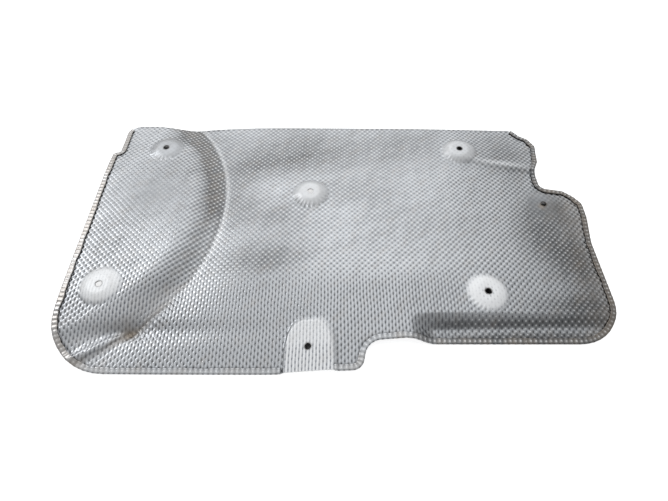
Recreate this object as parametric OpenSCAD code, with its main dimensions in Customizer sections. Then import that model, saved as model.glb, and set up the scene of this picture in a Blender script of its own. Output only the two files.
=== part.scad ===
// Exhaust heat shield: one pressed aluminium sheet, lying as it comes to rest.
// Origin: centre of the bounding box in plan, lowest point at z = 0.
// +X right along the long side, +Y towards the straight back edge, +Z up.

/* [Body] */
// span of the folded outline from left edge to right edge, mm
body_w = 580; // [550:1:605]
// span of the outline from front edge to back edge, mm
body_d = 344; // [325:1:362]
// thickness of the sheet, mm
sheet_t = 0.9; // [0.7:0.05:1.2]
// height of the main crown above the rest plane, mm
crown_h = 13.5; // [9:0.5:18]
// height of the left lobe above the rest plane, mm
lobe_h = 16; // [10:0.5:20]

/* [Hem] */
// width of the edge folded back over the top, mm
hem_w = 6; // [4.5:0.5:7.5]
// air gap left inside the fold, mm
hem_gap = 0.4; // [0.3:0.05:0.6]

/* [Bosses] */
// diameter of the mounting holes, mm
bore_d = 6.6; // [5.5:0.1:8]
// diameter of the flat top of a boss, mm
boss_top_d = 30; // [22:1:32]
// diameter of a boss at its foot, mm
boss_foot_d = 42; // [38:1:46]
// height of the tall boss in the middle, mm
boss_h = 5; // [3:0.5:6]
// height of the two bosses near the back edge, mm
back_boss_h = 4; // [2.5:0.5:5]
// height of the two bosses near the front edge, mm
front_boss_h = 3; // [2:0.5:4]
// height of the arched pad that opens at the front edge, mm
pad_h = 2; // [1:0.5:3]
// width of the arched pad across its foot, mm
pad_w = 50; // [40:1:54]
// length of the arched pad from the front edge, mm
pad_l = 56; // [44:1:60]

/* [Crease] */
// radius of the long curved crease, mm
crease_r = 215.5; // [205:0.5:225]
// height of the crease bottom at mid length, mm
crease_h = 6; // [4:0.5:8]
// width of the wall that falls from the lobe to the crease, mm
wall_w = 42; // [32:1:52]
// depth of the pit near the front end of the crease, mm
pit_d = 3.5; // [2:0.5:3.5]
// height of the wrinkle between the pit and the corner, mm
wrinkle_h = 3; // [1:0.5:4]

/* [Front step] */
// width of the slope down to the right front flange, mm
step_w = 24; // [18:1:30]
// rise of the raised back right corner above its step line, mm
corner_h = 3.5; // [2:0.5:5]

/* [Hidden] */

drawn_w = 580;
drawn_d = 344;
sx = body_w / drawn_w;
sy = body_d / drawn_d;
fold_r = sheet_t + hem_gap / 2;
columns_l = 14;
columns_m = 50;
columns = columns_l + columns_m;
rows = 34;
// centre of the crease, before the outline is scaled to its size
crease_c = [-350, 30];

// outline corners as [x, y, corner radius], counterclockwise from the back left
back_left = [-274, 168, 15];
left_tab = [[-273.2, 114.5, 4], [-281.6, 113.5, 7], [-287.5, -105, 0]];
front_left = [-288, -170.9, 60];
front_pts = [[-57, -174.5, 0], [-6, -174.5, 0], [20.5, -174, 11], [26.5, -144.6, 24],
             [66, -143.3, 14], [84, -145.6, 14]];
front_right = [285, -149, 46];
right_pts = [[284.2, -30, 30], [288.5, 5, 20], [289.2, 25.5, 8.5], [282, 36.3, 8],
             [272, 44.8, 9], [245.3, 49.3, 10], [245.3, 79, 9], [252.3, 93, 9],
             [254.2, 108, 12], [257, 122, 10], [251.2, 136.5, 10], [243, 142, 12]];
back_right = [234, 155.6, 8];
back_pts = [[105, 160, 200], [-105, 167.2, 150]];

function ss(t) = let (c = max(0, min(1, t))) c * c * (3 - 2 * c);
function unit(v) = v / norm(v);
function last(v) = v[len(v) - 1];
function xy(v) = [v[0] * sx, v[1] * sy];

// corner b between a and c rounded to radius r; half = 0 whole, 1 first, 2 second half
function corner(a, b, c, r, half = 0) =
    r <= 0 ? [b] :
    let (u = unit(a - b), w = unit(c - b), half_a = acos(max(-1, min(1, u * w))) / 2,
         reach = min(r / tan(half_a), 0.49 * norm(a - b), 0.49 * norm(c - b)),
         rr = reach * tan(half_a), mid = b + unit(u + w) * rr / sin(half_a),
         a0 = atan2((b + u * reach - mid)[1], (b + u * reach - mid)[0]),
         a1 = atan2((b + w * reach - mid)[1], (b + w * reach - mid)[0]),
         turn = (a1 - a0 > 180) ? a1 - a0 - 360 : (a1 - a0 < -180) ? a1 - a0 + 360 : a1 - a0,
         steps = 8, k0 = half == 2 ? steps / 2 : 0, k1 = half == 1 ? steps / 2 : steps)
    [for (k = [k0:k1]) mid + rr * [cos(a0 + turn * k / steps), sin(a0 + turn * k / steps)]];

// open path through the rounded corners v[1] .. v[n-2]; its ends stand in mid corner
function path(v) = [for (k = [1:len(v) - 2]) each
    corner(xy(v[k - 1]), xy(v[k]), xy(v[k + 1]), v[k][2],
           k == 1 ? 2 : k == len(v) - 2 ? 1 : 0)];

function lengths(p, k = 0, s = 0) =
    k == len(p) - 1 ? [s] : concat([s], lengths(p, k + 1, s + norm(p[k + 1] - p[k])));

// point at the fraction f of the length of path p
function at(p, ls, f) =
    let (s = f * last(ls), hit = [for (k = [0:len(p) - 2]) if (ls[k + 1] >= s - 1e-9) k],
         k = len(hit) > 0 ? hit[0] : len(p) - 2,
         w = (s - ls[k]) / max(1e-9, ls[k + 1] - ls[k]))
    p[k] * (1 - w) + p[k + 1] * w;

function sample(p, us) = let (ls = lengths(p)) [for (f = us) at(p, ls, f)];

// middle points of the rounded corners between the ends of the path v
function keys(v) = [for (k = [2:len(v) - 3])
    let (c = corner(xy(v[k - 1]), xy(v[k]), xy(v[k + 1]), v[k][2])) c[floor(len(c) / 2)]];
// moves the sample nearest to each key point onto it, so that no corner is cut off
function snapped(ps, ks) =
    let (hits = [for (q = ks) let (ds = [for (p = ps) norm(p - q)], m = min(ds))
             [for (k = [0:len(ps) - 1]) if (ds[k] == m) k][0]])
    [for (k = [0:len(ps) - 1]) let (h = [for (n = [0:len(ks) - 1]) if (hits[n] == k) ks[n]])
        len(h) > 0 && k > 0 && k < len(ps) - 1 ? h[0] : ps[k]];

// crease ends on the back edge and on the front left corner of the outline
crease_a0 = asin((167.6 - crease_c[1]) / crease_r);
crease_a1 = -asin((166 + crease_c[1]) / crease_r);
function crease_at(a) = xy(crease_c + crease_r * [cos(a), sin(a)]);
crease_top = crease_at(crease_a0);
crease_raw = crease_at(crease_a1);
corner_r = front_left[2] * min(sx, sy);
front_left_c = xy(front_left) + corner_r * [1, 1];
crease_end = front_left_c + corner_r * unit(crease_raw - front_left_c);

us_l = [for (i = [0:columns_l]) let (f = i / columns_l) f + 0.11 * sin(180 * f)];
us_m = [for (i = [0:columns_m]) let (f = i / columns_m) f - 0.04 * sin(180 * f)];
// the back edge is sampled behind the front edge, so that the grid stays inside the front notch
function behind(us, lag) = [for (f = us) f - lag * sin(180 * f)];
vs = [for (j = [0:rows]) let (f = j / rows) f - 0.07 * sin(180 * f)];

crease = concat([crease_end],
    [for (k = [1:39]) crease_at(crease_a1 + (crease_a0 - crease_a1) * k / 40)],
    [crease_top]);
end_a = atan2((crease_end - front_left_c)[1], (crease_end - front_left_c)[0]);
function round_to(a0, a1) = [for (k = [0:10]) let (a = a0 + (a1 - a0) * k / 10)
    front_left_c + corner_r * [cos(a), sin(a)]];
left_list = [[back_left[0] + 60, back_left[1], 0], back_left, left_tab[0],
             left_tab[1], left_tab[2], [left_tab[2][0], -120, 0]];
left_edge = concat(path(left_list), round_to(180, 202));
lobe_front = round_to(-158, end_a - (end_a > 0 ? 360 : 0));
back_l = concat(
    corner(xy([back_left[0], 0]), xy(back_left), xy([0, back_left[1]]), back_left[2], 2),
    [crease_top]);
front_list = concat([[-228, -170.9, 0], [-200, -171.5, 0]], front_pts,
                    [front_right, right_pts[0]]);
main_front = concat(round_to(end_a - (end_a > 0 ? 360 : 0), -90),
    path(front_list));
right_list = concat([last(front_pts), front_right], right_pts, [back_right, back_pts[0]]);
right_edge = path(right_list);
back_m = concat([crease_top], [for (k = [len(back_pts) - 1:-1:0]) each
    corner(k == len(back_pts) - 1 ? crease_top : xy(back_pts[k + 1]), xy(back_pts[k]),
           k == 0 ? xy(back_right) : xy(back_pts[k - 1]), back_pts[k][2])],
    corner(xy(back_pts[0]), xy(back_right), xy(last(right_pts)), back_right[2], 1));

function reversed(v) = [for (k = [len(v) - 1:-1:0]) v[k]];

// grid of plan points between four sides
function patch(front, back, left, right, us, lag, fk, lk, rk) =
    let (f = snapped(sample(front, us), fk), b = sample(back, behind(us, lag)),
         l = snapped(sample(left, vs), lk), r = snapped(sample(right, vs), rk))
    [for (j = [0:rows]) [for (i = [0:len(us) - 1]) let (u = us[i], v = vs[j])
        (1 - v) * f[i] + v * b[i] + (1 - u) * l[j] + u * r[j]
        - (1 - u) * (1 - v) * f[0] - u * (1 - v) * last(f)
        - (1 - u) * v * b[0] - u * v * last(b)]];

lobe_net = patch(lobe_front, back_l, reversed(left_edge), crease, us_l, 0,
                 [], keys(left_list), []);
main_net = patch(main_front, back_m, crease, right_edge, us_m, 0.09,
                 keys(front_list), [], keys(right_list));
net_raw = [for (j = [0:rows]) concat([for (i = [0:columns_l - 1]) lobe_net[j][i]], main_net[j])];
// relaxes the free grid points so that no cell folds over; held points stay where they are
function relaxed(n, held, times) = times == 0 ? n : relaxed(
    [for (j = [0:rows]) [for (i = [0:columns]) held[j][i] ? n[j][i] :
        let (pu = n[j][i + 1] - n[j][i - 1], pv = n[j + 1][i] - n[j - 1][i],
             a = pv * pv, b = pu * pv, c = pu * pu,
             x = n[j + 1][i + 1] - n[j + 1][i - 1] - n[j - 1][i + 1] + n[j - 1][i - 1])
        (a * (n[j][i - 1] + n[j][i + 1]) + c * (n[j - 1][i] + n[j + 1][i]) - b / 2 * x)
            / (2 * (a + c))]], held, times - 1);
held_rim = [for (j = [0:rows]) [for (i = [0:columns])
    j == 0 || j == rows || i == 0 || i == columns || i == columns_l]];
net_even = relaxed(net_raw, held_rim, 40);

// height of the crease bottom along its length
function crease_z(y) = let (q = y / sy)
    crease_h * (q > 10 ? 1 - pow((q - 10) / 158, 2) : 1 - 0.35 * ss((10 - q) / 120))
    - pit_d * exp(-pow((q + 131) / 10, 2));
// height of the lobe, left of the crease
function lobe_z(x, y) = let (q = y / sy)
    lobe_h * (1 - 0.42 * ss((q - 70) / 100) - 0.5 * ss((-80 - q) / 100));
// height of the main panel, right of the crease
function front_fall(p) = 1 - 0.6 * ss((p + 75) / 75) - 0.25 * ss((p - 20) / 60);
function corner_step(p, q) =
    corner_h * ss(((q - 97) + 0.27 * (p - 146)) / 10) * ss((p - 135) / 30)
    * (1 - ss((q - 105) / 55));
function main_z(x, y) = let (p = x / sx, q = y / sy,
        body = crown_h * (1 - 0.62 * ss(q / 160)) * (1 - 0.68 * ss((p - 90) / 230))
            * (1 - front_fall(p) * pow(max(0, min(1, (10 - q) / 185)), 1.2))
            + corner_step(p, q),
        side = max(0, 1 - 0.5 * ss((p - 255) / 28) * ss((10 - q) / 40)),
        wall = ss((-112 - q) / step_w) * ss((p - 70) / 26))
    body * side * (1 - wall);
function panel_z(x, y) =
    let (d = crease_r - norm([x / sx, y / sy] - crease_c), g = crease_z(y), q = y / sy,
         rib = q > -128 ? 0 : wrinkle_h * ss((-128 - q) / 10)
            * exp(-pow((d - 7) / 5, 2)))
    (d > 0 ? g + (max(g, lobe_z(x, y)) - g) * ss(d / wall_w)
           : g + (main_z(x, y) - g) * (1 - exp(d / 38))) + rib;

// bosses as [x, y, height, ring count]
bosses = [
    [-216 * sx, 120 * sy, back_boss_h, 3], [158 * sx, 114 * sy, back_boss_h, 3],
    [-31 * sx, 43 * sy, boss_h, 3], [-248 * sx, -82 * sy, front_boss_h, 3],
    [154 * sx, -95 * sy, front_boss_h, 3], [244.5 * sx, 25.5 * sy, 0, 1]];
pad = [-31 * sx, -150 * sy];

function nearest(c) =
    let (all = [for (j = [3:rows - 3]) for (i = [3:columns - 3]) [norm(net_even[j][i] - c), i, j]],
         m = min([for (e = all) e[0]]))
    [for (e = all) if (e[0] == m) e][0];
sites = [for (b = bosses) let (n = nearest([b[0], b[1]])) [n[1], n[2]]];
pad_i = let (m = min([for (p = net_even[0]) abs(p[0] - pad[0])]))
    [for (i = [0:columns]) if (abs(net_even[0][i][0] - pad[0]) == m) i][0];

// direction of the grid offset (a, b) with its square ring turned into a circle
function ring_angle(a, b) = let (m = max(abs(a), abs(b)))
    abs(a) >= abs(b) ? (a > 0 ? 45 * b / m : 180 - 45 * b / m)
                     : (b > 0 ? 90 - 45 * a / m : 270 + 45 * a / m);
ring_r = [0, 0.5 * boss_top_d / 2, boss_top_d / 2, boss_foot_d / 2];
flat_r = 9;

// boss that holds the grid point (i, j), or -1
function holder(i, j) = let (h = [for (k = [0:len(sites) - 1])
    if (max(abs(i - sites[k][0]), abs(j - sites[k][1])) <= bosses[k][3]) k])
    len(h) > 0 ? h[0] : -1;

pad_rings = [[0, 0], [0.42, 0.4], [0.9, 0.94], [1, 1]];
pad_rows = 8;
function in_pad(i, j) = abs(i - pad_i) <= 3 && j <= pad_rows;
function pad_ring(i, j) = max(abs(i - pad_i), j - pad_rows + 3, 1);
// point of the arched pad: a rounded square ring, open at the front edge
function pad_point(i, j) =
    let (m = pad_ring(i, j), a = (i - pad_i) / m, b = j / (m + pad_rows - 3),
         f = pow(pow(abs(a), 3) + pow(b, 3), 1 / 3), s = pad_rings[m],
         x0 = pad[0], y0 = net_even[0][pad_i][1])
    a == 0 && j < pad_rows - 2 ? [x0, y0 + j / (pad_rows - 2) * s[1] * pad_l] :
    [x0 + a / f * s[0] * pad_w / 2, y0 + b / f * s[1] * pad_l];

// point of the boss k on its rings
function ring_point(k, i, j) =
    let (a = i - sites[k][0], b = j - sites[k][1], m = max(abs(a), abs(b)),
         r = bosses[k][3] == 1 ? flat_r * m : ring_r[m], c = [bosses[k][0], bosses[k][1]])
    m == 0 ? c : c + r * [cos(ring_angle(a, b)), sin(ring_angle(a, b))];
net_rings = [for (j = [0:rows]) [for (i = [0:columns]) let (k = holder(i, j))
    in_pad(i, j) ? pad_point(i, j) : k < 0 ? net_even[j][i] : ring_point(k, i, j)]];
held_all = [for (j = [0:rows]) [for (i = [0:columns])
    held_rim[j][i] || in_pad(i, j) || holder(i, j) >= 0]];
net = relaxed(net_rings, held_all, 90);

function site_z(k) = panel_z(bosses[k][0], bosses[k][1]) + bosses[k][2];
// grid point with its height: [x, y, z of the underside]
function point(i, j) =
    let (p = net[j][i], k = holder(i, j), m = k < 0 ? 9 :
             max(abs(i - sites[k][0]), abs(j - sites[k][1])))
    [p[0], p[1], m <= 2 ? site_z(k) :
        panel_z(p[0], p[1]) + (in_pad(i, j) && pad_ring(i, j) <= 2 ? pad_h : 0)];

under = [for (j = [0:rows]) for (i = [0:columns]) point(i, j)];
count = len(under);
over = [for (p = under) [p[0], p[1], p[2] + sheet_t]];
function id(i, j) = j * (columns + 1) + i;

// edge of the grid, counterclockwise, as [i, j]
rim = concat([for (i = [0:columns - 1]) [i, 0]], [for (j = [0:rows - 1]) [columns, j]],
    [for (i = [columns:-1:1]) [i, rows]], [for (j = [rows:-1:1]) [0, j]]);
edge = len(rim);
function rim_at(k) = rim[(k + edge) % edge];
function rim_id(k) = id(rim_at(k)[0], rim_at(k)[1]);
// the back edge and the front of the arched pad stay unfolded
function folded(k) = let (r = rim_at(k), s = rim_at(k + 1))
    !(r[1] == rows && s[1] == rows) && !(r[1] == 0 && s[1] == 0 && abs(r[0] - pad_i) <= 3
      && abs(s[0] - pad_i) <= 3);
function inward(k) = let (a = under[rim_id(k - 1)], b = under[rim_id(k)], c = under[rim_id(k + 1)],
    t = unit(unit([b[0] - a[0], b[1] - a[1]]) + unit([c[0] - b[0], c[1] - b[1]]))) [-t[1], t[0]];
function clampi(v, m) = max(1, min(m - 1, v));
// the five points of the folded edge at rim point k
function fold(k) =
    let (q = under[rim_id(k)], n = inward(k), r = rim_at(k),
         s = under[id(clampi(r[0], columns), clampi(r[1], rows))],
         w = hem_w - fold_r, f = w / norm([s[0] - q[0], s[1] - q[1]]),
         e = [q[0] + n[0] * w, q[1] + n[1] * w], z1 = q[2] + (s[2] - q[2]) * f,
         h = sheet_t + hem_gap)
    [[q[0] - n[0] * fold_r, q[1] - n[1] * fold_r, q[2] + fold_r],
     [q[0], q[1], q[2] + 2 * fold_r], [e[0], e[1], z1 + 2 * fold_r], [e[0], e[1], z1 + h],
     [q[0], q[1], q[2] + h]];
fold_pts = [for (k = [0:edge - 1]) each fold(k)];
function fold_id(k, m) = m == 0 ? rim_id(k) : m == 6 ? count + rim_id(k)
    : 2 * count + 5 * ((k + edge) % edge) + m - 1;

// the diagonal of a cell points at the boss beside it
function slant(i, j) =
    let (h = [for (k = [0:len(sites) - 1]) if (abs(i + 0.5 - sites[k][0]) < 4
              && abs(j + 0.5 - sites[k][1]) < 4) k],
         c = len(h) > 0 ? sites[h[0]] : abs(i + 0.5 - pad_i) < 4 && j <= pad_rows ? [pad_i, 4] : [0, 0])
    (i + 0.5 - c[0]) * (j + 0.5 - c[1]) > 0;
cells = [for (j = [0:rows - 1]) for (i = [0:columns - 1])
    let (a = id(i, j), b = id(i + 1, j), c = id(i + 1, j + 1), d = id(i, j + 1))
    each slant(i, j) ? [[a, b, c], [a, c, d]] : [[a, b, d], [b, c, d]]];
edge_faces = [for (k = [0:edge - 1]) each folded(k)
    ? [for (m = [0:5]) each [[fold_id(k, m), fold_id(k + 1, m), fold_id(k + 1, m + 1)],
                             [fold_id(k, m), fold_id(k + 1, m + 1), fold_id(k, m + 1)]]]
    : [[fold_id(k, 0), fold_id(k + 1, 0), fold_id(k + 1, 6)],
       [fold_id(k, 0), fold_id(k + 1, 6), fold_id(k, 6)]]];
// a cut end of the fold, closed where folded and unfolded edge meet
end_tris = [[0, 6, 1], [6, 5, 1], [5, 2, 1], [5, 4, 3], [5, 3, 2]];
end_faces = [for (k = [0:edge - 1]) if (folded(k) != folded(k - 1)) for (t = end_tris)
    folded(k) ? [fold_id(k, t[0]), fold_id(k, t[1]), fold_id(k, t[2])]
              : [fold_id(k, t[0]), fold_id(k, t[2]), fold_id(k, t[1])]];
function flip(f) = [f[0], f[2], f[1]];

module sheet() {
    polyhedron(
        points = points_all,
        faces = concat(cells, [for (f = cells) [count + f[0], count + f[2], count + f[1]]],
                       [for (f = edge_faces) flip(f)], end_faces),
        convexity = 8);
}

// extent of the formed sheet, used to centre it over the origin
points_all = concat(under, over, fold_pts);
used = concat(under, over,
    [for (k = [0:edge - 1]) if (folded(k) || folded(k - 1)) each fold(k)]);
low = [for (a = [0:2]) min([for (p = used) p[a]])];
high = [for (a = [0:2]) max([for (p = used) p[a]])];
centre = [(low[0] + high[0]) / 2, (low[1] + high[1]) / 2, low[2]];

module bore(x, y, z) {
    translate([x, y, z - 5]) cylinder(h = 12, d = bore_d, $fn = 48);
}

module shield_panel() {
    color([0.72, 0.73, 0.74]) translate(-centre) difference() {
        sheet();
        for (k = [0:len(bosses) - 1]) bore(bosses[k][0], bosses[k][1], site_z(k));
        bore(pad[0], pad[1], panel_z(pad[0], pad[1]) + pad_h);
    }
}

shield_panel();
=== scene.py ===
import math

import bpy
import numpy as np
from mathutils import Matrix, Vector, kdtree


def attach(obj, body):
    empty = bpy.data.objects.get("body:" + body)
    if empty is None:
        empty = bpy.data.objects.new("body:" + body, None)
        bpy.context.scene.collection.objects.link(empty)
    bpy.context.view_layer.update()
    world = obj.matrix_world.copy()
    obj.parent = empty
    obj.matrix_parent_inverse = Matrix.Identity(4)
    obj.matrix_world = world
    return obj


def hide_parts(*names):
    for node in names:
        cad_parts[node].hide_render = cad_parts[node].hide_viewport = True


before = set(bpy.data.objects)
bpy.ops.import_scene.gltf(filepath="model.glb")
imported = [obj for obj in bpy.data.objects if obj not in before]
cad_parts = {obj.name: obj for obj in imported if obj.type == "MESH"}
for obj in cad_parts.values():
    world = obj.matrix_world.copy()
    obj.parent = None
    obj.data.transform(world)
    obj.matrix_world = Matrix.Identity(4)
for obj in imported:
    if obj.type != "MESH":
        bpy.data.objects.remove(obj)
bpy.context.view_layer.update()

# Sizes, in mm
SHEET_T = 0.9          # thickness of the sheet
HEM_W = 6.0            # width of the folded edge
HEM_GAP = 0.4          # gap inside the fold
FOLD_R = SHEET_T + HEM_GAP / 2  # outer radius of the fold
RIM_STEP = 1.15        # distance between the points of the folded edge
BEAD = 5.0             # distance between the beads on the folded edge
LIP_OUT, LIP_IN = 0.15, 0.75  # drop of the fold's cut edge below its top, outside and inside
# the dark line beside the fold is painted shade under the fold's inner edge
FOLD_SHADE_IN, FOLD_SHADE_W = 5.7, 0.75   # dark line beside the fold: way from the outline, half width
PITCH = 4.8            # distance between neighbouring bumps of the embossing
LATTICE_TURN = -0.754  # turn of the embossing from the axes, degrees
EMBOSS = 0.42          # scale of the embossing's height
PIT_POWER = 2.4        # how narrow its pits are
TALL_POWER, TALL_NARROW = -1.1, 5.0  # what changes where they are drawn out
TOP_CELL, UNDER_CELL = PITCH / 5, PITCH / 3  # cells of the two skins
SNAP = 0.3             # share of a cell within which its points move onto a rim
FAR_LEFT, LEFT_CUT, RIGHT_CUT, FAR_RIGHT = -400, -95, 95, 400  # where the upper skin is parted
CENTRE = (0.4051, -3.8449)    # middle of the sheet's box, as drawn
BORE_R = 3.3           # radius of the holes
CREASE_C, CREASE_R = (-350.0, 30.0), 215.5  # circle that the crease follows
CREASE_H, PIT_H = 6.0, 3.5    # height of the crease, and how far it drops at the pit
LOBE_H, CROWN_H = 16.0, 13.5  # heights of the lobe and of the main panel
PAD = (-31.0, -150.0)         # hole of the arched pad
PAD_FRONT, PAD_HALF, PAD_LONG, PAD_H = -174.5, 25.0, 56.0, 2.0  # front, half width, length, height
BOSSES = {  # name: x, y, height, radius of the flat top, radius of the foot
    "back_left": (-216.0, 120.0, 4.0, 15.0, 21.0),
    "back_right": (158.0, 114.0, 4.0, 15.0, 21.0),
    "middle": (-31.0, 43.0, 5.0, 15.0, 21.0),
    "front_left": (-248.0, -82.0, 3.0, 15.0, 21.0),
    "front_right": (154.0, -95.0, 3.0, 15.0, 21.0),
    "right": (244.5, 25.5, 0.0, 9.0, 16.0),
}


def ease(t):
    """Smooth step from 0 to 1."""
    c = np.clip(t, 0, 1)
    return c * c * (3 - 2 * c)


def blob(x, y, cx, cy, rx, ry, turn=0.0):
    """Soft round patch, 1 in its middle."""
    a = math.radians(turn)
    u = (x - cx) * math.cos(a) + (y - cy) * math.sin(a)
    v = -(x - cx) * math.sin(a) + (y - cy) * math.cos(a)
    return np.exp(-((u / rx) ** 2) - ((v / ry) ** 2))


def waves(seed, scale, octaves=3):
    """A smooth seeded wavy field, about -1 to 1."""
    g = np.random.default_rng(seed)
    parts = []
    for o in range(octaves):
        for _ in range(5):
            a = g.uniform(0, 2 * math.pi)
            k = 2 * math.pi / (scale / 1.9**o) * g.uniform(0.7, 1.3)
            parts.append((k * math.cos(a), k * math.sin(a), g.uniform(0, 2 * math.pi), 0.6**o))
    total = math.sqrt(sum(p[3] ** 2 for p in parts))
    return lambda x, y: sum(p[3] * np.sin(p[0] * x + p[1] * y + p[2]) for p in parts) / total


soft_noise = waves(3, 90)
fine_noise = waves(5, 22)
edge_noise = waves(8, 34)


def waver(x, y):
    """How far the width of the folded edge strays, in mm."""
    return 0.35 * edge_noise(x, y) + 0.25 * fine_noise(x, y)


# Form of the pressed sheet
def crease_z(y):
    """Height of the crease bottom along its length."""
    h = np.where(y > 10, 1 - ((y - 10) / 158) ** 2, 1 - 0.35 * ease((10 - y) / 120))
    return CREASE_H * h - PIT_H * np.exp(-(((y + 131) / 10) ** 2))


def lobe_z(x, y):
    """Height of the lobe, left of the crease."""
    return LOBE_H * (1 - 0.42 * ease((y - 70) / 100) - 0.5 * ease((-80 - y) / 100))


def main_z(x, y):
    """Height of the main panel, right of the crease."""
    fall = 1 - 0.6 * ease((x + 75) / 75) - 0.25 * ease((x - 20) / 60)
    body = CROWN_H * (1 - 0.62 * ease(y / 160)) * (1 - 0.68 * ease((x - 90) / 230))
    body = body * (1 - fall * np.clip((10 - y) / 185, 0, 1) ** 1.2)
    corner = ease(((y - 97) + 0.27 * (x - 146)) / 10) * ease((x - 135) / 30)
    body = body + 3.5 * corner * (1 - ease((y - 105) / 55))
    side = np.maximum(0, 1 - 0.5 * ease((x - 255) / 28) * ease((10 - y) / 40))
    wall = ease((-117 - y) / 15) * ease((x - 70) / 26)
    return body * side * (1 - wall)


def crease_d(x, y):
    """Distance from the crease, positive on the lobe."""
    return CREASE_R - np.hypot(x - CREASE_C[0], y - CREASE_C[1])


def panel_z(x, y):
    """Height of the sheet without bosses and pad."""
    d, g = crease_d(x, y), crease_z(y)
    rib = 3.0 * ease((-128 - y) / 10) * np.exp(-(((d - 7) / 5) ** 2))
    lobe = g + (np.maximum(g, lobe_z(x, y)) - g) * ease(d / 42)
    rest = g + (main_z(x, y) - g) * (1 - np.exp(np.minimum(d, 0) / 38))
    return np.where(d > 0, lobe, rest) + rib


def pad_f(x, y):
    """1 on the foot of the arched pad, less inside it; its right wall slopes more gently."""
    out = x - PAD[0]
    u, v = np.abs(out) / PAD_HALF, np.maximum(y - PAD_FRONT, 0) / PAD_LONG
    f = (u**3 + v**3) ** (1 / 3)
    gentle = 1 / (1 + 2.4 * np.clip(out / PAD_HALF, 0, 1) ** 2)
    gentle = np.where((out > 0) & (f > 0.9), gentle, 1.0)
    return np.where(f > 0.9, 0.9 + (f - 0.9) * gentle, f)


def formed_z(x, y):
    """Underside of the sheet with its bosses and the arched pad."""
    z = panel_z(x, y)
    z = z + PAD_H * (1 - ease((pad_f(x, y) - 0.9) / 0.1))
    for bx, by, h, top, foot in BOSSES.values():
        r = np.hypot(x - bx, y - by)
        w = 1 - ease((r - top + 5.5) / (foot - top + 8.5))
        peak = panel_z(np.array(bx), np.array(by)) + h
        z = z * (1 - w) + peak * w
    return z


def boss_flat(x, y):
    """How far the embossing is pressed flat, 0 to 1."""
    f = np.zeros_like(x)
    for name, (bx, by, h, top, foot) in BOSSES.items():
        r = np.hypot(x - bx, y - by)
        if name == "right":
            f = np.maximum(f, 0.75 * (1 - ease((r - 8) / 26)))
        else:
            f = np.maximum(f, 0.9 * (1 - ease((r - foot + 4) / 8)))
    f = np.maximum(f, 0.45 * (1 - ease((pad_f(x, y) - 0.93) / 0.06)))
    f = np.maximum(f, 0.62 * blob(x, y, -222, 45, 38, 30, -20) ** 0.6)
    f = np.maximum(f, 0.5 * blob(x, y, -222, 96, 26, 12))
    f = np.maximum(f, 0.45 * blob(x, y, 150, 92, 26, 10))
    return f


def lattice(x, y):
    """Place in the embossing, in bumps along its two diagonals."""
    wx = x + 0.55 * soft_noise(x, y)
    wy = y + 0.55 * soft_noise(y + 300, x)
    a = math.radians(LATTICE_TURN + 45)
    return ((wx * math.cos(a) + wy * math.sin(a)) / PITCH,
            (wx * math.sin(a) - wy * math.cos(a)) / PITCH)


def tall_pits(x, y):
    """How far the pits are drawn out along y, 0 to 1."""
    return ease((-55 - y) / 35) * (1 - 0.7 * ease((x - 110) / 40))


def emboss_z(x, y):
    """Egg-crate embossing of the sheet."""
    u, v = lattice(x, y)
    across = np.cos(math.pi * (u + v))
    wave = across * np.cos(math.pi * (u - v))
    tall = tall_pits(x, y)
    pit = np.clip(-wave, 0, 1) ** (PIT_POWER + TALL_POWER * tall)
    pit = pit * np.abs(across) ** (TALL_NARROW * tall)
    form = 0.45 * wave - 0.8 * pit
    high = EMBOSS * (1 + 0.16 * fine_noise(x, y))
    high = high * (1 - 0.4 * ease((y - 40) / 80) * ease((x + 180) / 50))
    high = high * (1 - 0.35 * ease((x + 190) / 90) + 0.35 * ease((x - 90) / 60)
                   + 0.4 * blob(x, y, -215, 95, 50, 40))
    return form * high * (1 - boss_flat(x, y))


def pleats_z(x, y):
    """Crinkles where the sheet gathers: round the bosses, along the crease and from the pit."""
    z = np.zeros_like(x)
    for name, amount in (("middle", 0.55), ("back_left", 0.2), ("back_right", 0.25),
                         ("front_right", 0.25)):
        bx, by, h, top, foot = BOSSES[name]
        r, a = np.hypot(x - bx, y - by), np.arctan2(y - by, x - bx)
        near = ease((-np.sin(a) + 0.1) / 0.6)
        ring = np.exp(-(((r - foot + 1.5) / 3.2) ** 2))
        z += amount * near * np.cos(23 * a + 1.3 * np.sin(3 * a)) * ring
    d = crease_d(x, y)
    along = np.arctan2(y - CREASE_C[1], x - CREASE_C[0]) * CREASE_R
    low = ease((-60 - y) / 50) * ease((y + 150) / 20)
    z += 0.35 * low * np.cos(2 * math.pi * along / 5.2) * np.exp(-(((d + 3) / 8) ** 2))
    z -= 1.6 * blob(x, y, -212, -132, 6, 4, 30)
    return z


def skin_z(x, y):
    """Underside of the sheet with all its detail."""
    return formed_z(x, y) + pleats_z(x, y) + emboss_z(x, y)


# Outline
def rounded_corner(a, b, c, r, steps=10):
    """Points of the corner b between a and c, rounded with radius r."""
    a, b, c = np.array(a, float), np.array(b, float), np.array(c, float)
    if r <= 0:
        return [b]
    u, w = (a - b) / np.linalg.norm(a - b), (c - b) / np.linalg.norm(c - b)
    half = math.acos(max(-1, min(1, float(u @ w)))) / 2
    reach = min(r / math.tan(half), 0.49 * np.linalg.norm(a - b), 0.49 * np.linalg.norm(c - b))
    rr = reach * math.tan(half)
    mid = b + (u + w) / np.linalg.norm(u + w) * rr / math.sin(half)
    s, e = b + u * reach - mid, b + w * reach - mid
    a0, a1 = math.atan2(s[1], s[0]), math.atan2(e[1], e[0])
    turn = (a1 - a0 + math.pi) % (2 * math.pi) - math.pi
    return [mid + rr * np.array([math.cos(a0 + turn * k / steps), math.sin(a0 + turn * k / steps)])
            for k in range(steps + 1)]


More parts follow.
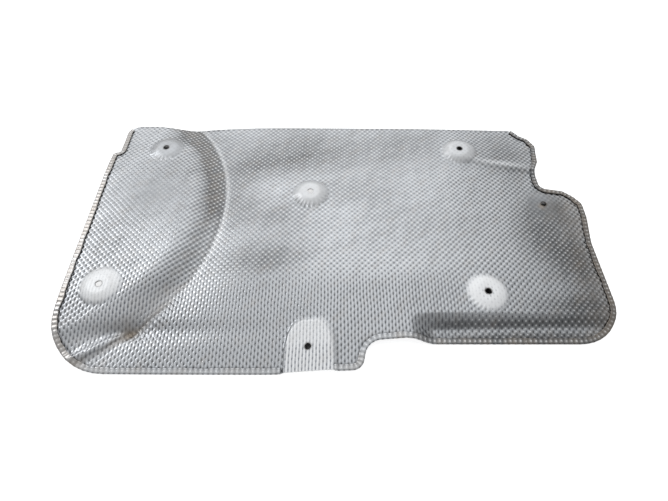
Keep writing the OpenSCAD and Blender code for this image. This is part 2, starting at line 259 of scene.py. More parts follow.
CORNERS = [  # outline as drawn: x, y, radius
    (-274, 168, 15), (-273.2, 114.5, 4), (-281.6, 113.5, 7), (-288, -170.9, 60),
    (-57, -174.5, 0), (-6, -174.5, 0), (20.5, -174, 11), (26.5, -144.6, 24), (66, -143.3, 14),
    (84, -145.6, 14), (285, -149, 46), (284.2, -30, 30), (288.5, 5, 20), (289.2, 25.5, 8.5),
    (282, 36.3, 8), (272, 44.8, 9), (245.3, 49.3, 10), (245.3, 79, 9), (252.3, 93, 9),
    (254.2, 108, 12), (257, 122, 10), (251.2, 136.5, 10), (243, 142, 12), (234, 155.6, 8),
    (105, 160, 200), (-105, 167.2, 150), (-184.5, 167.6, 0),
]


def outline(step):
    """Closed outline, counterclockwise, in even steps, with inward normals and the hem flag."""
    n = len(CORNERS)
    pts = []
    for k in range(n):
        a, b, c = CORNERS[k - 1], CORNERS[k], CORNERS[(k + 1) % n]
        pts += rounded_corner(a[:2], b[:2], c[:2], b[2])
    pts = np.array(pts + [pts[0]])
    seg = np.linalg.norm(np.diff(pts, axis=0), axis=1)
    keep = np.concatenate([[True], seg > 1e-6])
    pts = pts[keep]
    s = np.concatenate([[0], np.cumsum(np.linalg.norm(np.diff(pts, axis=0), axis=1))])
    count = int(s[-1] / step)
    t = np.linspace(0, s[-1], count, endpoint=False)
    q = np.column_stack([np.interp(t, s, pts[:, 0]), np.interp(t, s, pts[:, 1])])
    wide = max(1, int(round(1.5 / step)))
    tan = np.roll(q, -wide, axis=0) - np.roll(q, wide, axis=0)
    tan /= np.linalg.norm(tan, axis=1)[:, None]
    normal = np.column_stack([-tan[:, 1], tan[:, 0]])
    # the back edge and the front of the pad are cut, not folded
    on_back = (q[:, 1] > 154.4) & (q[:, 0] > -270) & (q[:, 0] < 236)
    on_pad = (q[:, 1] < -173.5) & (q[:, 0] > -56) & (q[:, 0] < -6)
    return q, normal, ~(on_back | on_pad)


BURRS = {  # drawn out sides of the holes: direction, how far in mm, width
    "front_left": [(2.9, 0.55, 0.5), (-1.0, 0.35, 0.4)],
    "front_right": [(-0.7, 0.4, 0.5)],
    "pad": [(-1.9, 0.35, 0.6)],
}


def hole_r(name, a):
    """Radius of a hole in the direction a, in radians."""
    r = BORE_R + 0.08 * np.sin(3 * a + len(name))
    for way, amount, width in BURRS.get(name, []):
        r = r + amount * np.exp(-(((a - way) / width) ** 2))
    return r


HOLES = {name: (b[0], b[1]) for name, b in BOSSES.items()}
HOLES["pad"] = PAD

RIM, RIM_NORMAL, RIM_FOLDED = outline(0.5)
rim_tree = kdtree.KDTree(len(RIM))
for k, p in enumerate(RIM):
    rim_tree.insert((p[0], p[1], 0), k)
rim_tree.balance()


def well_inside(x, y):
    """Points so far from the outline that nothing there depends on it."""
    return (x > -255) & (x < 225) & (y > -130) & (y < 145)


# Skins of the sheet
def to_part(x, y, z):
    """Points in metres in the part's frame."""
    return np.column_stack([(x - CENTRE[0]) / 1000, (y - CENTRE[1]) / 1000, z / 1000])


def skin_cells(step):
    """Points on the embossing's own lattice, fitted to outline and holes, and their quads."""
    a = math.radians(LATTICE_TURN + 45)
    e1 = np.array([math.cos(a), math.sin(a)]) * step
    e2 = np.array([math.sin(a), -math.cos(a)]) * step
    m = int(480 / step)
    i, j = np.meshgrid(np.arange(-m, m + 1), np.arange(-m, m + 1), indexing="ij")
    x, y = i * e1[0] + j * e2[0], i * e1[1] + j * e2[1]
    near = (np.abs(x) < 296) & (y > -182) & (y < 176)
    state = np.zeros(x.shape, np.int8)  # 0 outside, 1 inside, 2 outside but moved to a rim
    reach = step * math.sqrt(2) * 1.02
    ii, jj = np.nonzero(near)
    px, py = x[ii, jj], y[ii, jj]
    far = well_inside(px, py)
    for n in range(len(ii)):
        if far[n]:
            state[ii[n], jj[n]] = 1
            continue
        _, k, dist = rim_tree.find((px[n], py[n], 0))
        inside = (px[n] - RIM[k, 0]) * RIM_NORMAL[k, 0] + (py[n] - RIM[k, 1]) * RIM_NORMAL[k, 1]
        if inside >= 0 and dist > SNAP * step:
            state[ii[n], jj[n]] = 1
        elif inside >= 0 or dist < reach:
            x[ii[n], jj[n]], y[ii[n], jj[n]] = RIM[k]
            state[ii[n], jj[n]] = 2 if inside < 0 else 1
    for name, (hx, hy) in HOLES.items():
        box = (np.abs(x - hx) < 8) & (np.abs(y - hy) < 8)
        for u, v in zip(*np.nonzero(box)):
            dx, dy = x[u, v] - hx, y[u, v] - hy
            r, ang = math.hypot(dx, dy), math.atan2(dy, dx)
            edge = float(hole_r(name, np.array(ang)))
            if r < edge - reach:
                state[u, v] = 0
            elif r < edge + SNAP * step:
                x[u, v], y[u, v] = hx + edge * math.cos(ang), hy + edge * math.sin(ang)
                state[u, v] = 2 if r < edge else 1
    s00, s10, s11, s01 = state[:-1, :-1], state[1:, :-1], state[1:, 1:], state[:-1, 1:]
    full = (s00 > 0) & (s10 > 0) & (s11 > 0) & (s01 > 0)
    some = (s00 == 1) | (s10 == 1) | (s11 == 1) | (s01 == 1)
    cells = np.argwhere(full & some)
    return x, y, cells


# Marks on the metal: dirt, stains and brushing, with painted shade, painted light and painted
# highlights
SPOTS = {  # soft patches on each mark: x, y, two radii, turn in degrees, amount
    # painted shade and dull patches
    "shade": [
        (-40, 132, 110, 40, 0, 0.62), (-198, 148, 26, 20, 0, 0.8), (-122, 45, 30, 60, 0, 0.42),
        (-72, 12, 45, 28, 0, 0.4), (-85, -50, 55, 22, 6, 0.6), (-60, 98, 60, 24, 0, 0.35),
        (60, 98, 48, 38, 0, 0.2), (15, 48, 50, 26, 0, 0.35), (90, 0, 48, 34, 0, 0.18),
        (265, -60, 30, 55, 0, 0.55), (262, 20, 24, 24, 0, 0.5), (228, -15, 26, 50, 0, 0.7),
        (-200, 88, 38, 24, 0, 0.3), (-225, 38, 48, 36, 0, 0.3), (-258, -30, 26, 70, 0, 0.12),
        (130, 142, 60, 22, 0, 0.28), (208, 105, 36, 28, 0, 0.25), (245, -112, 50, 14, 0, 0.8),
        (187, -144, 93, 8.2, 0, 1.6), (-245, -35, 34, 62, -15, 0.2), (-88, 92, 54, 27, 0, 0.28),
        (217, 94, 37, 51, 0, 0.42), (70, 112, 60, 30, 0, 0.14), (258, -57, 26, 44, 0, 0.4),
        (-172, 55, 22, 60, 0, 0.2), (-208, -135, 7, 4, 30, 0.9),
    ],
    # dirt, with painted shade in the pit
    "grime_and_shade": [(-212, -131, 8, 5, 20, 0.95), (-192, -112, 14, 6, 40, 0.25),
              (262, 5, 18, 22, 0, 0.4), (-95, -42, 45, 16, 5, 0.15)],
    "brown": [(-211, -131, 9, 6, 20, 0.8), (241, 22, 5, 5, 0, 0.7)],
    # how dark the pits are painted: dirt and painted shade
    "hollow": [(40, 20, 110, 60, 0, -0.15), (-215, 100, 50, 40, 0, 0.35),
               (-205, -100, 65, 30, 20, 0.4)],
    # painted light on slopes and along the step by the back right boss
    "brushed_and_painted_light": [(-215, -106, 72, 15, 20, 0.42), (204, 91, 34, 4, -9, 0.5),
             (-242, -142, 32, 22, -30, 0.36)],
}
# brushing and painted light on each boss
BOSS_BRUSHING_AND_PAINTED_LIGHT = {"front_left": 1.0, "front_right": 1.0, "middle": 0.6, "back_right": 0.5,
               "back_left": 0.1}
# dark rings round the holes: wear and painted shade
DARK_HOLES = {"front_right": 0.9, "back_right": 0.8, "right": 0.8, "back_left": 0.8,
              "pad": 0.6, "front_left": 0.5}
# painted shade line beside a wrinkle from the pit
WRINKLE, WRINKLE_RUN = (-250.0, -158.5), (33.0, 22.0)  # start, and the way to its end


def spots(name, x, y):
    """The soft patches of one mark, each with its amount."""
    return [amount * blob(x, y, *where) for *where, amount in SPOTS[name]]


def bell(distance, width):
    """1 at no distance, falling softly to 0."""
    return np.exp(-((distance / width) ** 2))


def fields(x, y):
    """The marks on the metal, each 0 to 1.

    smooth: pressed flat; shade: dullness and painted shade; grime: soiling with painted shade;
    brown: brown staining; pale: brushed places and painted light;
    hollow: how dark the pits are painted, soiling and painted shade; seam: painted shade lines; tall:
    pits drawn out along y.
    """
    d = crease_d(x, y)
    smooth = boss_flat(x, y)
    on_pad = 1 - ease((pad_f(x, y) - 0.9) / 0.08)
    # painted shade on the crease wall, in its groove, on the front step and along the back edge
    wall = bell(d - 12, 10) * ease((150 + y) / 30)
    wall = wall * (0.35 + 0.65 * ease((y + 10) / 50) + 0.3 * ease((-60 - y) / 40))
    groove = bell(d - 1, 3.5)
    step_band = ease((x - 74) / 36) * bell(y + 127, 5)
    back_edge = np.interp(x, (-274, -184, -105, 105, 234), (168, 167.6, 167.2, 160, 155.6)) - y

    # shade: painted shade bands, dull and painted shade patches, slightly darker away from the front
    shade = 0.9 * wall + 0.45 * groove + 0.9 * step_band + sum(spots("shade", x, y))
    shade = shade + np.where(x < 236, bell(back_edge, 2.6), 0) * (0.35 + 0.3 * ease((-130 - x) / 30))
    shade = shade + 0.05 * soft_noise(x, y) + 0.05 * fine_noise(x, y) + 0.06 * ease((y + 90) / 60)

    # grime: dirt, with painted shade on the crease wall, in the groove and on the right
    grime_and_shade = 0.15 * wall + 0.15 * groove * ease((-40 - y) / 60) + sum(spots("grime_and_shade", x, y))
    grime_and_shade = grime_and_shade + 0.2 * ease((x - 185) / 60) * ease((60 - y) / 40)
    grime_and_shade = grime_and_shade + 0.03 * soft_noise(x, y) + 0.03 * fine_noise(x, y)

    brown = 0.2 * wall + 0.25 * groove * ease((-40 - y) / 80) + sum(spots("brown", x, y))
    brown = brown + 0.3 * ease((x - 235) / 40) + 0.1 * fine_noise(y, x)

    # pale: brushing and painted light on the pad and bosses, a painted highlight along the crease
    # ridge, and painted light patches
    brushed_and_painted_light = np.maximum(0.85 * on_pad, 0.35 * bell(d + 4, 2.2))
    for name, amount in BOSS_BRUSHING_AND_PAINTED_LIGHT.items():
        bx, by, _, _, foot = BOSSES[name]
        brushed_and_painted_light = np.maximum(brushed_and_painted_light, amount * (1 - ease((np.hypot(x - bx, y - by) - foot + 5) / 8)))
    for spot in spots("brushed_and_painted_light", x, y):
        brushed_and_painted_light = np.maximum(brushed_and_painted_light, spot)

    # painted shade line beside a wrinkle running from the pit
    (wx, wy), (dx, dy) = WRINKLE, WRINKLE_RUN
    along = np.clip(((x - wx) * dx + (y - wy) * dy) / (dx**2 + dy**2), 0, 1)
    off = np.hypot(x - wx - dx * along, y - wy - dy * along - 0.8 * np.sin(9 * along))
    painted_shade_lines = (0.45 + 0.25 * along) * bell(off, 0.8)
    # dark rings round the holes: wear and painted shade
    for name, amount in DARK_HOLES.items():
        hx, hy = HOLES[name]
        painted_shade_lines = np.maximum(painted_shade_lines, amount * bell(np.hypot(x - hx, y - hy) - 3.5, 0.8))

    # how dark the pits are painted: dirt and painted shade, stronger in front and to the right
    front = ease((-20 - y) / 70)
    hollow = 0.55 + 0.3 * front * (1 - ease((x - 60) / 120)) + 0.45 * ease((x - 120) / 60)
    hollow = (hollow + sum(spots("hollow", x, y))) * (1 - 0.9 * smooth)
    hollow = np.maximum(hollow, 0.55 * blob(x, y, 154, -97, 15, 15) ** 2)
    hollow = np.maximum(hollow, 0.8 * on_pad * ease((-138 - y) / 14))
    marks = {"smooth": smooth, "grime_and_shade": grime_and_shade, "brown": brown, "brushed_and_painted_light": brushed_and_painted_light,
             "hollow": hollow, "shade": shade, "painted_shade_lines": painted_shade_lines, "tall": tall_pits(x, y)}
    return {name: np.clip(mark, 0, 1) for name, mark in marks.items()}


def make_mesh(name, xyz, faces, plan, extra=None, normals=None):
    """A piece with its marks; extra is added to the marks that it names."""
    me = bpy.data.meshes.new(name)
    me.from_pydata(xyz.tolist(), [], faces)
    me.update()
    marks = fields(*plan)
    for key, v in (extra or {}).items():
        marks[key] = np.clip(marks[key] + v, 0, 1)
    marks["lattice_u"], marks["lattice_v"] = lattice(*plan)
    for key, v in marks.items():
        at = me.attributes.new(key, "FLOAT", "POINT")
        at.data.foreach_set("value", np.asarray(v, np.float32))
    me.shade_smooth()
    if normals is not None:
        me.normals_split_custom_set_from_vertices(normals.tolist())
    ob = bpy.data.objects.new(name, me)
    bpy.context.scene.collection.objects.link(ob)
    return ob


def slopes(x, y, e=0.15):
    """Slopes of the skin along x and y."""
    return ((skin_z(x + e, y) - skin_z(x - e, y)) / (2 * e),
            (skin_z(x, y + e) - skin_z(x, y - e)) / (2 * e))


def fold_shade_line(x, y):
    """The painted shade line just inside the folded edge, 0 to 1."""
    painted_shade_lines = np.zeros_like(x)
    stray = waver(x, y)
    for n in np.nonzero(~well_inside(x, y))[0]:
        _, k, dist = rim_tree.find((x[n], y[n], 0))
        if RIM_FOLDED[k]:
            painted_shade_lines[n] = math.exp(-(((dist - FOLD_SHADE_IN - stray[n]) / FOLD_SHADE_W) ** 2))
    return painted_shade_lines * (0.55 - 0.25 * ease((x - 200) / 30))


def build_skin(name, top, x_from, x_to, net):
    """One side of the sheet between two places along x."""
    x, y, cells = net
    mid = x[cells[:, 0], cells[:, 1]]
    cells = cells[(mid >= x_from) & (mid < x_to)]
    i, j = cells[:, 0], cells[:, 1]
    corners = np.stack([i * x.shape[1] + j, (i + 1) * x.shape[1] + j,
                        (i + 1) * x.shape[1] + j + 1, i * x.shape[1] + j + 1], axis=1)
    used, back = np.unique(corners, return_inverse=True)
    quads = back.reshape(-1, 4)
    px, py = x.ravel()[used], y.ravel()[used]
    z = skin_z(px, py) + (SHEET_T if top else 0.0)
    zx, zy = slopes(px, py)
    n = np.column_stack([-zx, -zy, np.ones_like(zx)])
    n /= np.linalg.norm(n, axis=1)[:, None]
    # the lattice runs clockwise, so the upper skin is turned over
    faces = quads[:, ::-1] if top else quads
    if not top:
        n = -n
        z = np.maximum(z, 0)
    # with the painted shade line beside the fold
    return make_mesh(name, to_part(px, py, z), faces.tolist(), (px, py),
                     {"painted_shade_lines": fold_shade_line(px, py)}, n)


def fold_section(r, start, top, end):
    """Section of one side of the folded edge: way inwards, and height over the underside."""
    w = HEM_W - FOLD_R
    bend = [(-r * math.cos(math.radians(a)), FOLD_R + r * math.sin(math.radians(a)))
            for a in (-60, -30, 0, 30, 60)]
    flat = [(w * f, top) for f in (0.25, 0.5, 0.75, 0.93)]
    return [(0.0, start)] + bend + [(0.0, top)] + flat + [(w, end)]


def build_hem():
    """Folded edge, and the cut edge where the sheet isn't folded."""
    q, normal, folded = outline(RIM_STEP)
    n = len(q)
    w = HEM_W - FOLD_R
    outer = fold_section(FOLD_R, 0.0, 2 * FOLD_R, 2 * FOLD_R - LIP_OUT)
    inner = fold_section(HEM_GAP / 2, SHEET_T, SHEET_T + HEM_GAP, 2 * FOLD_R - LIP_IN)
    m = len(outer)
    stray = waver(q[:, 0], q[:, 1])
    run = RIM_STEP * np.arange(n) / BEAD
    bumps = np.cos(2 * math.pi * run)
    rings, beads = [], []
    for chain in (outer, inner):
        for s, h in chain:
            reach = s * (1 + stray / w) if s > 0 else s
            px, py = q[:, 0] + normal[:, 0] * reach, q[:, 1] + normal[:, 1] * reach
            over = np.maximum(reach, 0)
            sx, sy = q[:, 0] + normal[:, 0] * over, q[:, 1] + normal[:, 1] * over
            lift = h if s <= 0 else h + 0.25 * (s / w) ** 2
            if h > FOLD_R and s >= 0:
                swell = math.sin(math.pi * min(1, (s + 1) / (w + 1)))
                em = (0.3 * bumps + 0.25 * emboss_z(sx, sy)) * swell
            elif h <= SHEET_T:
                em = emboss_z(sx, sy)
            else:
                em = 0.5 * emboss_z(sx, sy) + 0.12 * bumps
            base = formed_z(sx, sy) + pleats_z(sx, sy)
            rings.append(np.column_stack([px, py, np.maximum(base + lift + em, 0)]))
            across = 0.5 - min(1, max(0, (s + 1) / (w + 1)))
            beads.append(np.column_stack([run, np.full(n, across)]))
    verts = np.concatenate(rings)
    faces = []

    def idx(ring, k):
        return ring * n + (k % n)

    for k in range(n):
        if folded[k] and folded[(k + 1) % n]:
            for r in range(m - 1):
                t = m + r
                faces.append((idx(r, k), idx(r + 1, k), idx(r + 1, k + 1), idx(r, k + 1)))
                faces.append((idx(t, k), idx(t, k + 1), idx(t + 1, k + 1), idx(t + 1, k)))
            last = 2 * m - 1
            faces.append((idx(m - 1, k), idx(last, k), idx(last, k + 1), idx(m - 1, k + 1)))
        else:
            faces.append((idx(0, k), idx(m, k), idx(m, k + 1), idx(0, k + 1)))
            for a, b in ((k, 0), (k + 1, 1)):
                other = (k - 1) if b == 0 else (k + 2)
                if folded[a % n] and folded[other % n]:
                    for r in range(m - 1):
                        f = (idx(r, a), idx(r + 1, a), idx(m + r + 1, a), idx(m + r, a))
                        faces.append(f if b == 0 else f[::-1])
    used, back = np.unique(np.concatenate([np.array(f) for f in faces]), return_inverse=True)
    out, pos = [], 0
    for f in faces:
        out.append(back[pos:pos + len(f)].tolist())
        pos += len(f)
    v = verts[used]
    x, y = v[:, 0], v[:, 1]
    brown = 0.1 + 0.15 * edge_noise(x, y) + 0.55 * ease((-230 - x) / 30)
    right = ease((x - 60) / 120)
    bead = np.concatenate(beads)[used]
    # painted shade in the gaps between the beads; painted shade on the right of the edge and a little
    # painted light on its left
    gap = 0.45 * (0.5 - 0.5 * np.cos(2 * math.pi * bead[:, 0])) ** 2
    extra = {"brown": brown + 0.15 * right, "brushed_and_painted_light": 0.12 - 0.12 * right,
             "shade": 0.6 * right - 0.05 + gap, "tall": -1.0}
    ob = make_mesh("folded_edge", to_part(x, y, v[:, 2]), out, (x, y), extra)
    for key, values in (("lattice_u", bead[:, 0]), ("lattice_v", bead[:, 1])):
        ob.data.attributes[key].data.foreach_set("value", np.asarray(values, np.float32))
    return ob


def build_hole_rims():
    """Walls of the seven holes, with a small burr on top."""
    verts, faces, count = [], [], 56
    for name, (hx, hy) in HOLES.items():
        a = np.linspace(0, 2 * math.pi, count, endpoint=False)
        wrapped = (a + math.pi) % (2 * math.pi) - math.pi
        r = hole_r(name, wrapped)
        x, y = hx + r * np.cos(a), hy + r * np.sin(a)
        z = skin_z(x, y)
        burr = 0.12 + 0.06 * np.sin(5 * a + hx)
        top = z + SHEET_T
        ring = [(r + 0.35, top + 0.01), (r + 0.05, top + burr), (r - 0.08, top),
                (r - 0.08, z), (r + 0.05, z - 0.02)]
        base = len(verts)
        for rr, zz in ring:
            verts += np.column_stack([hx + rr * np.cos(a), hy + rr * np.sin(a), zz]).tolist()
        for m in range(len(ring) - 1):
            for k in range(count):
                k2 = (k + 1) % count
                faces.append((base + m * count + k, base + m * count + k2,
                              base + (m + 1) * count + k2, base + (m + 1) * count + k))
    v = np.array(verts)
    return make_mesh("hole_rims", to_part(v[:, 0], v[:, 1], v[:, 2]), faces,
                     (v[:, 0], v[:, 1]), {"brown": 0.35})


# Materials
BARE = (0.425, 0.44, 0.46, 1), (0.515, 0.525, 0.545, 1)  # its two tones
# colour of painted shade and dull places
PAINTED_SHADE_AND_DULL = (0.07, 0.07, 0.07, 1)
# colour of the painted highlights on the bumps
PAINTED_HIGHLIGHT_WHITE = (0.97, 0.975, 0.98, 1)
# dirt and painted shade in the pits
PIT_DIRT_AND_SHADE = (0.06, 0.06, 0.065, 1)
# colour of brushed places and painted light
BRUSHED_AND_PAINTED_LIGHT_WHITE = (0.97, 0.975, 0.985, 1)
# dirt and painted shade in the pits of the pale places
PALE_PIT = (0.12, 0.13, 0.16, 1)
# colour of the painted shade lines
SHADE_LINE_DARK = (0.025, 0.025, 0.03, 1)
# colour of grime, and of painted shade where it lies on the crease
GRIME_AND_SHADE_DARK = (0.13, 0.125, 0.12, 1)
TINT = (0.36, 0.29, 0.22, 1)
# the paint under the sheet is a painted shadow
FLOOR_PAINTED_SHADOW, FLOOR_OPEN = 0.22, 0.6  # paint under the sheet, and what the open floor adds


def nodes_of(owner):
    """The emptied nodes and links of a material or world, and a maker of Math nodes."""
    owner.use_nodes = True
    nodes, links = owner.node_tree.nodes, owner.node_tree.links
    nodes.clear()

    def calc(op, a, b=0.0, c=0.0, clamp=False):
        n = nodes.new("ShaderNodeMath")
        n.operation = op
        n.use_clamp = clamp
        for sock, v in zip(n.inputs, (a, b, c)):
            if isinstance(v, (int, float)):
                sock.default_value = v
            else:
                links.new(v, sock)
        return n.outputs[0]

    return nodes, links, calc


def aluminium():
    """Bright rolled aluminium with its marks."""
    mat = bpy.data.materials.new("embossed_aluminium")
    nodes, links, calc = nodes_of(mat)
    out = nodes.new("ShaderNodeOutputMaterial")
    bsdf = nodes.new("ShaderNodeBsdfPrincipled")
    links.new(bsdf.outputs[0], out.inputs[0])

    def attr(name):
        n = nodes.new("ShaderNodeAttribute")
        n.attribute_name = name
        return n.outputs["Fac"]

    def mix(fac, a, b):
        n = nodes.new("ShaderNodeMix")
        n.data_type = "RGBA"
        for sock, v in ((n.inputs["Factor"], fac), (n.inputs["A"], a), (n.inputs["B"], b)):
            if isinstance(v, (tuple, float)):
                sock.default_value = v
            else:
                links.new(v, sock)
        return n.outputs["Result"]

    def noise(scale, detail=4.0, rough=0.55):
        coord = nodes.new("ShaderNodeTexCoord")
        n = nodes.new("ShaderNodeTexNoise")
        n.inputs["Scale"].default_value = scale
        n.inputs["Detail"].default_value = detail
        n.inputs["Roughness"].default_value = rough
        links.new(coord.outputs["Object"], n.inputs["Vector"])
        return n.outputs["Fac"]

    grain = noise(160.0, 6.0, 0.65)
    specks = noise(900.0, 2.0, 0.5)
    # the embossing: low in its pits, peak on its bumps
    across = calc("MULTIPLY", calc("ADD", attr("lattice_u"), attr("lattice_v")), math.pi)
    along = calc("MULTIPLY", calc("SUBTRACT", attr("lattice_u"), attr("lattice_v")), math.pi)
    across = calc("COSINE", across)
    wave = calc("MULTIPLY", across, calc("COSINE", along))
    below = calc("MAXIMUM", calc("MULTIPLY", wave, -1.0), 0.0)
    pit = calc("POWER", below, calc("MULTIPLY_ADD", attr("tall"), TALL_POWER, PIT_POWER))
    narrow = calc("POWER", calc("ABSOLUTE", across), calc("MULTIPLY", attr("tall"), TALL_NARROW))
    pit = calc("MULTIPLY", pit, narrow)
    # dirt and painted shade in the pits, drawn out into dashes where they are tall
    stripe = calc("MULTIPLY", calc("POWER", calc("ABSOLUTE", across), 4.0), attr("tall"))
    pit = calc("MULTIPLY_ADD", stripe, 0.7, pit, clamp=True)
    low = calc("MULTIPLY", pit, attr("hollow"), clamp=True)
    # painted highlights on the tops of the bumps, none where pressed flat
    peak = calc("EXPONENT", calc("MULTIPLY_ADD", wave, 3.4, -3.4), clamp=True)
    uneven = calc("MULTIPLY_ADD", noise(330.0, 2.0, 0.5), 4.0, -1.1, clamp=True)
    painted_highlight = calc("MULTIPLY", peak, uneven)
    painted_highlight = calc("MULTIPLY", painted_highlight, calc("MULTIPLY_ADD", attr("smooth"), -1.0, 1.0, clamp=True))
    painted_highlight = calc("MULTIPLY", painted_highlight, calc("MULTIPLY_ADD", attr("tall"), -0.3, 1.0, clamp=True))
    # bare metal, dull places with painted shade, painted highlights on the bumps, and pits darkened
    # with dirt and painted shade
    clean = mix(noise(9.0), *BARE)
    clean = mix(calc("MULTIPLY", attr("shade"), 0.8), clean, PAINTED_SHADE_AND_DULL)
    clean = mix(calc("MULTIPLY", painted_highlight, 0.85), clean, PAINTED_HIGHLIGHT_WHITE)
    clean = mix(calc("MULTIPLY", low, 0.95), clean, PIT_DIRT_AND_SHADE)
    # brushed places with painted light, painted shade lines, grime with painted shade and a brown tint
    brushed_and_painted_light = mix(attr("brushed_and_painted_light"), clean, BRUSHED_AND_PAINTED_LIGHT_WHITE)
    brushed_and_painted_light = mix(calc("MULTIPLY", low, calc("MULTIPLY", attr("brushed_and_painted_light"), 2.0, clamp=True)), brushed_and_painted_light, PALE_PIT)
    brushed_and_painted_light = mix(calc("MULTIPLY", attr("painted_shade_lines"), 0.95), brushed_and_painted_light, SHADE_LINE_DARK)
    grime_and_shade_fac = calc("MULTIPLY_ADD", grain, 0.5, -0.25)
    grime_and_shade_fac = calc("ADD", attr("grime_and_shade"), grime_and_shade_fac)
    grime_and_shade_fac = calc("MULTIPLY", grime_and_shade_fac, attr("grime_and_shade"), clamp=True)
    dark = mix(grime_and_shade_fac, brushed_and_painted_light, GRIME_AND_SHADE_DARK)
    tint = mix(calc("MULTIPLY", attr("brown"), 0.55), dark, TINT)
    links.new(tint, bsdf.inputs["Base Color"])
    # rougher where it is pressed flat or grimy, less metallic under painted light, painted highlights
    # and grime
    rough = calc("MULTIPLY_ADD", grain, 0.12, 0.12)
    rough = calc("MULTIPLY_ADD", attr("smooth"), 0.2, rough)
    rough = calc("MULTIPLY_ADD", attr("grime_and_shade"), 0.2, rough)
    links.new(rough, bsdf.inputs["Roughness"])
    metal = calc("MULTIPLY_ADD", attr("brushed_and_painted_light"), -0.8, 0.95)
    metal = calc("MULTIPLY_ADD", painted_highlight, -0.5, metal)
    metal = calc("MULTIPLY_ADD", attr("grime_and_shade"), -0.35, metal, clamp=True)
    links.new(metal, bsdf.inputs["Metallic"])
    bump = nodes.new("ShaderNodeBump")
    bump.inputs["Strength"].default_value = 0.25
    bump.inputs["Distance"].default_value = 0.0004
    links.new(calc("ADD", grain, calc("MULTIPLY", specks, 0.35)), bump.inputs["Height"])
    links.new(bump.outputs[0], bsdf.inputs["Normal"])
    return mat


def floor_material():
    """White floor that keeps the sheet's shadow, painted dark under the sheet as a painted shadow, with
    two painted light spots under two holes.
    """
    mat = bpy.data.materials.new("white_floor")
    nodes, links, calc = nodes_of(mat)
    out = nodes.new("ShaderNodeOutputMaterial")
    add = nodes.new("ShaderNodeAddShader")
    diff = nodes.new("ShaderNodeBsdfDiffuse")
    emit = nodes.new("ShaderNodeEmission")
    emit.inputs["Color"].default_value = (1, 1, 1, 1)
    links.new(diff.outputs[0], add.inputs[0])
    links.new(emit.outputs[0], add.inputs[1])
    # from below the floor is clear, so the underside of the sheet shows
    side = nodes.new("ShaderNodeNewGeometry")
    clear = nodes.new("ShaderNodeBsdfTransparent")
    either = nodes.new("ShaderNodeMixShader")
    links.new(side.outputs["Backfacing"], either.inputs[0])
    links.new(add.outputs[0], either.inputs[1])
    links.new(clear.outputs[0], either.inputs[2])
    links.new(either.outputs[0], out.inputs[0])
    coord = nodes.new("ShaderNodeTexCoord")
    sep = nodes.new("ShaderNodeSeparateXYZ")
    links.new(coord.outputs["Object"], sep.inputs[0])

    def spot(cx, cy, r):
        dx, dy = calc("SUBTRACT", sep.outputs[0], cx), calc("SUBTRACT", sep.outputs[1], cy)
        d = calc("SQRT", calc("ADD", calc("MULTIPLY", dx, dx), calc("MULTIPLY", dy, dy)))
        return calc("LESS_THAN", d, r)

    # under the sheet the floor is painted dark and left without glow: a painted shadow
    under = 0.0
    for x0, x1, y0, y1 in UNDER_SHEET:
        dx = calc("MINIMUM", calc("SUBTRACT", sep.outputs[0], x0), calc("SUBTRACT", x1, sep.outputs[0]))
        dy = calc("MINIMUM", calc("SUBTRACT", sep.outputs[1], y0), calc("SUBTRACT", y1, sep.outputs[1]))
        under = calc("MAXIMUM", under, calc("MULTIPLY", calc("MINIMUM", dx, dy), EDGE_RISE, clamp=True))
    open_floor = calc("SUBTRACT", 1.0, under)
    # two painted light spots glow on the floor under two holes
    for sx, sy in LIT_SPOTS:
        open_floor = calc("MAXIMUM", open_floor, spot(sx, sy, LIT_R))
    # the floor's paint is dark under the sheet: a painted shadow
    paint = nodes.new("ShaderNodeCombineColor")
    for sock in paint.inputs:
        links.new(calc("MULTIPLY_ADD", open_floor, FLOOR_OPEN, FLOOR_PAINTED_SHADOW), sock)
    links.new(paint.outputs[0], diff.inputs["Color"])
    path = nodes.new("ShaderNodeLightPath")
    # the open floor and the painted light spots glow; under the sheet there is no glow
    seen = calc("ADD", calc("MULTIPLY", path.outputs["Is Camera Ray"], FLOOR_GLOW),
             calc("MULTIPLY", path.outputs["Is Glossy Ray"], FLOOR_MIRRORED))
    links.new(calc("MULTIPLY", open_floor, seen), emit.inputs["Strength"])
    return mat


# Camera and light
CAM_AT = Vector((-4.47, -333.28, 446.01)) / 1000  # metres
CAM_DOWN, CAM_ROLL = 55.589, -0.89  # degrees
FOCAL_PX, WIDTH_PX = 479.5, 668     # focal length and width of the picture, in pixels
SENSOR = 36                         # width of the film, mm
FLOOR_GLOW, FLOOR_MIRRORED = 0.75, 0.5         # as the camera and as the metal see it
FLOOR_HALF, FLOOR_DROP = 4, 0.0005             # metres
# radius of the painted light spots, and how fast the painted shadow's edge fades
LIT_R, EDGE_RISE = 0.009, 80.0                 # light spots; how fast the painted edge fades
# the painted shadow on the floor fills these rectangles
UNDER_SHEET = [  # rectangles that the sheet covers: x from, x to, y from, y to
    (-0.275, 0.24, -0.12, 0.155), (-0.235, 0.0, -0.16, 0.1), (0.0, 0.278, -0.12, 0.048),
]
WINDOW_AT, WINDOW_SIDE, WINDOW_POWER = Vector((-1.6, 0.9, 1.6)), 0.9, 5.7
SKY_AT, SKY_WIDE = (-0.09, 0.8), (0.55, 0.75)  # middle and size of the bright patch
SKY_DARK, SKY_GLOW = 0.48, 1.04                # strength round it, and what it adds


def seen_through(x, y, z):
    """Where the line from the camera through a hole meets the floor, in metres."""
    p = Vector(((x - CENTRE[0]) / 1000, (y - CENTRE[1]) / 1000, z / 1000))
    d = p - CAM_AT
    k = -CAM_AT.z / d.z
    return (CAM_AT.x + d.x * k, CAM_AT.y + d.y * k)


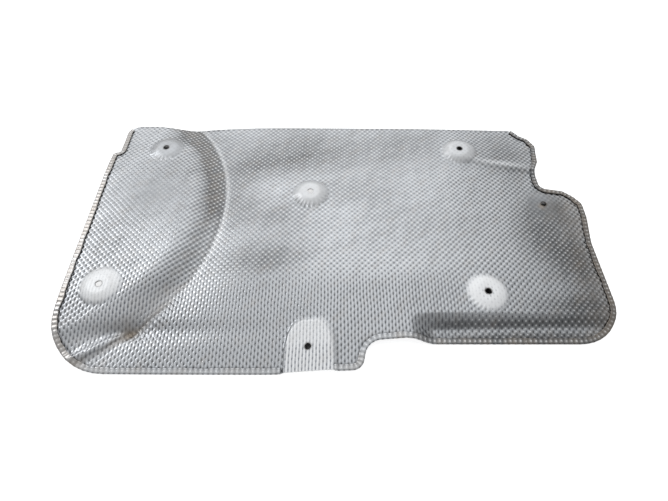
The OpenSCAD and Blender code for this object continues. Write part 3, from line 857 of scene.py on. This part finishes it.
# the floor glows in two painted light spots, seen through two holes whose rims are at these heights
MIDDLE_RIM, LEFT_RIM = 17.5, 19.5
LIT_SPOTS = [seen_through(*HOLES["middle"], MIDDLE_RIM),
             seen_through(*HOLES["front_left"], LEFT_RIM)]

cam_data = bpy.data.cameras.new("camera")
cam = bpy.data.objects.new("camera", cam_data)
bpy.context.scene.collection.objects.link(cam)
cam_data.sensor_width = SENSOR
cam_data.lens = FOCAL_PX / WIDTH_PX * SENSOR
cam_data.clip_start, cam_data.clip_end = 0.01, 50
cam.matrix_world = (Matrix.Translation(CAM_AT)
                    @ Matrix.Rotation(math.radians(90 - CAM_DOWN), 4, "X")
                    @ Matrix.Rotation(math.radians(CAM_ROLL), 4, "Z"))
bpy.context.scene.camera = cam

lamp = bpy.data.lights.new("window", "AREA")
lamp.shape = "RECTANGLE"
lamp.size = lamp.size_y = WINDOW_SIDE
lamp.energy = WINDOW_POWER
lamp.color = (0.97, 0.985, 1.0)
window = bpy.data.objects.new("window", lamp)
window.location = WINDOW_AT
window.rotation_euler = (-WINDOW_AT).to_track_quat("-Z", "Y").to_euler()
bpy.context.scene.collection.objects.link(window)


def sky():
    """A wide bright patch behind the object, dark to the left, to the right and in front."""
    world = bpy.data.worlds.new("room")
    bpy.context.scene.world = world
    nodes, links, calc = nodes_of(world)
    coord = nodes.new("ShaderNodeTexCoord")
    sep = nodes.new("ShaderNodeSeparateXYZ")
    links.new(coord.outputs["Generated"], sep.inputs[0])
    off = calc("MULTIPLY_ADD", sep.outputs[0], 1 / SKY_WIDE[0], -SKY_AT[0] / SKY_WIDE[0])
    far = calc("MULTIPLY_ADD", sep.outputs[1], 1 / SKY_WIDE[1], -SKY_AT[1] / SKY_WIDE[1])
    glow = calc("ADD", calc("MULTIPLY", off, off), calc("MULTIPLY", far, far))
    glow = calc("EXPONENT", calc("MULTIPLY", glow, -1.0))
    up = calc("MULTIPLY_ADD", sep.outputs[2], 2.5, 0.2, clamp=True)
    light = calc("MULTIPLY_ADD", calc("MULTIPLY", glow, up), SKY_GLOW, SKY_DARK)
    out = nodes.new("ShaderNodeOutputWorld")
    back = nodes.new("ShaderNodeBackground")
    back.inputs["Color"].default_value = (0.975, 0.99, 1.0, 1)
    links.new(light, back.inputs["Strength"])
    links.new(back.outputs[0], out.inputs[0])


sky()

floor_mesh = bpy.data.meshes.new("floor")
floor_corners = [(x * FLOOR_HALF, y * FLOOR_HALF, 0) for x, y in ((-1, -1), (1, -1), (1, 1), (-1, 1))]
floor_mesh.from_pydata(floor_corners, [], [(0, 1, 2, 3)])
floor = bpy.data.objects.new("floor", floor_mesh)
floor.location = (0, 0, -FLOOR_DROP)
bpy.context.scene.collection.objects.link(floor)
floor.data.materials.append(floor_material())

# The object
metal = aluminium()
top_net = skin_cells(TOP_CELL)
under_net = skin_cells(UNDER_CELL)
parts = [
    build_skin("top_left", True, FAR_LEFT, LEFT_CUT, top_net),
    build_skin("top_middle", True, LEFT_CUT, RIGHT_CUT, top_net),
    build_skin("top_right", True, RIGHT_CUT, FAR_RIGHT, top_net),
    build_skin("underside", False, FAR_LEFT, FAR_RIGHT, under_net),
    build_hem(),
    build_hole_rims(),
]
for ob in parts:
    ob.data.materials.append(metal)
    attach(ob, "root")
    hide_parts("shield_panel")

scene = bpy.context.scene
scene.view_settings.view_transform = "Standard"
